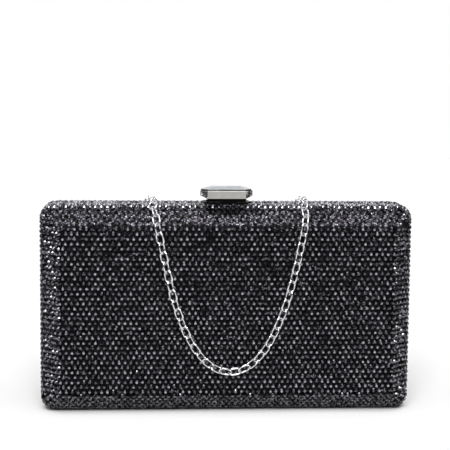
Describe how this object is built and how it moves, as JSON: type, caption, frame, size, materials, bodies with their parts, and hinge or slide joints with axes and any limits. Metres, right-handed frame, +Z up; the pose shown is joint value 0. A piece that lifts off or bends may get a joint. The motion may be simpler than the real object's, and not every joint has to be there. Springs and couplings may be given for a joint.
{
  "type": "evening bag",
  "caption": "Hard box clutch covered in dark crystals, with two hinged halves, a jewelled push clasp and a short hand chain.",
  "frame": {"origin": "middle of the base, in the seam plane between the two halves", "axes": "+X along the bag's width, -Y towards the front panel, +Z up to the clasp"},
  "size_m": [0.2, 0.0497, 0.1216],
  "materials": {
    "crystal_jet": "faceted near-black glass stones set close together, glossy",
    "shell_black": "black moulded shell",
    "frame_gunmetal": "gunmetal plating, polished",
    "lining_black": "black satin",
    "hinge_steel": "brushed, dark nickel",
    "rivet_steel": "plain steel",
    "clasp_mirror": "mirror polish",
    "gem_grey": "smoky grey cut glass with a foiled back",
    "neck_black": "black lacquer",
    "latch_steel": "plain pressed steel",
    "chain_gunmetal": "polished bright gunmetal"
  },
  "bodies": {
    "rear_half": {"rear_crystal_cover": "crystal_jet", "rear_shell": "shell_black", "rear_lining": "lining_black", "rear_frame": "frame_gunmetal", "slip_pocket": "lining_black", "gusset_left": "lining_black", "gusset_right": "lining_black", "rear_hinge_leaves": "hinge_steel", "hinge_pin_left": "hinge_steel", "hinge_pin_right": "hinge_steel", "rear_hinge_rivets": "rivet_steel", "catch_plate": "latch_steel", "catch_rivets": "rivet_steel"},
    "front_half": {"front_crystal_cover": "crystal_jet", "front_shell": "shell_black", "front_lining": "lining_black", "front_frame": "frame_gunmetal", "front_hinge_leaves": "hinge_steel", "front_hinge_rivets": "rivet_steel", "clasp_collar": "neck_black", "latch_housing": "latch_steel", "latch_rivets": "rivet_steel", "clasp_spring": "latch_steel", "chain_loop_left": "chain_gunmetal", "chain_loop_right": "chain_gunmetal"},
    "clasp": {"clasp_bezel": "clasp_mirror", "clasp_gem": "gem_grey", "clasp_stem": "neck_black", "latch_hook": "latch_steel"},
    "chain": {"chain_ring_left": "chain_gunmetal", "chain_ring_right": "chain_gunmetal", "chain_links": "chain_gunmetal"}
  },
  "joints": [
    {"name": "lid_hinge", "type": "hinge", "parent": "rear_half", "child": "front_half", "pos_m": [0, 0, 0.0016], "axis": [1, 0, 0], "range_deg": [0, 60], "deforming": ["gusset_left", "gusset_right"]},
    {"name": "clasp_press", "type": "slide", "parent": "front_half", "child": "clasp", "axis": [0, 0, 1], "range_m": [-0.0015, 0], "stiffness_N_per_m": 2500, "springref_m": 0.002, "deforming": ["clasp_spring"]},
    {"name": "chain_swing", "type": "hinge", "parent": "front_half", "child": "chain", "pos_m": [0, -0.0014, 0.1144], "axis": [1, 0, 0], "range_deg": [-166, 0]}
  ]
}
